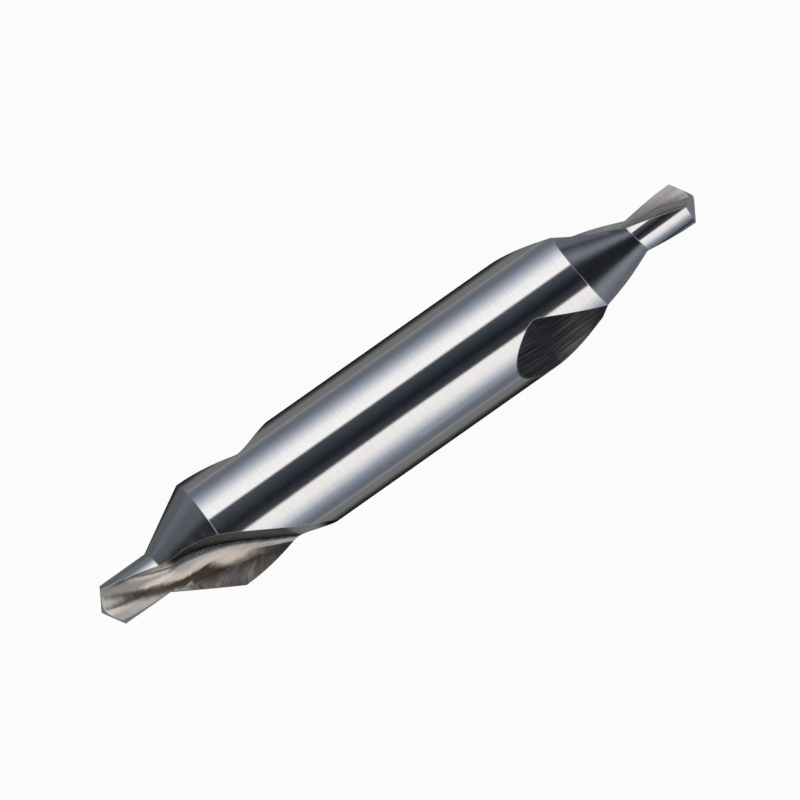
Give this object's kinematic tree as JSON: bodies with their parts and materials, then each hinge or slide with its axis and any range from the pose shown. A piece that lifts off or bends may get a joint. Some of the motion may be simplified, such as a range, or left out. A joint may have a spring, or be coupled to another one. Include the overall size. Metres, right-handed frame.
{
  "type": "centre drill",
  "caption": "Double-ended centre drill: a round ground body with a pilot, a 60 degree countersink cone and helical flutes at each end.",
  "frame": {"origin": "middle of the tool, on its axis", "axes": "+X along the axis towards one point; the cutting corners of the other end lie in the XY plane where its cone meets the body"},
  "size_m": [0.0474, 0.008, 0.008],
  "materials": {
    "ground_steel": "bright ground high-speed steel"
  },
  "bodies": {
    "root": {"centre_drill": "ground_steel"}
  },
  "joints": []
}
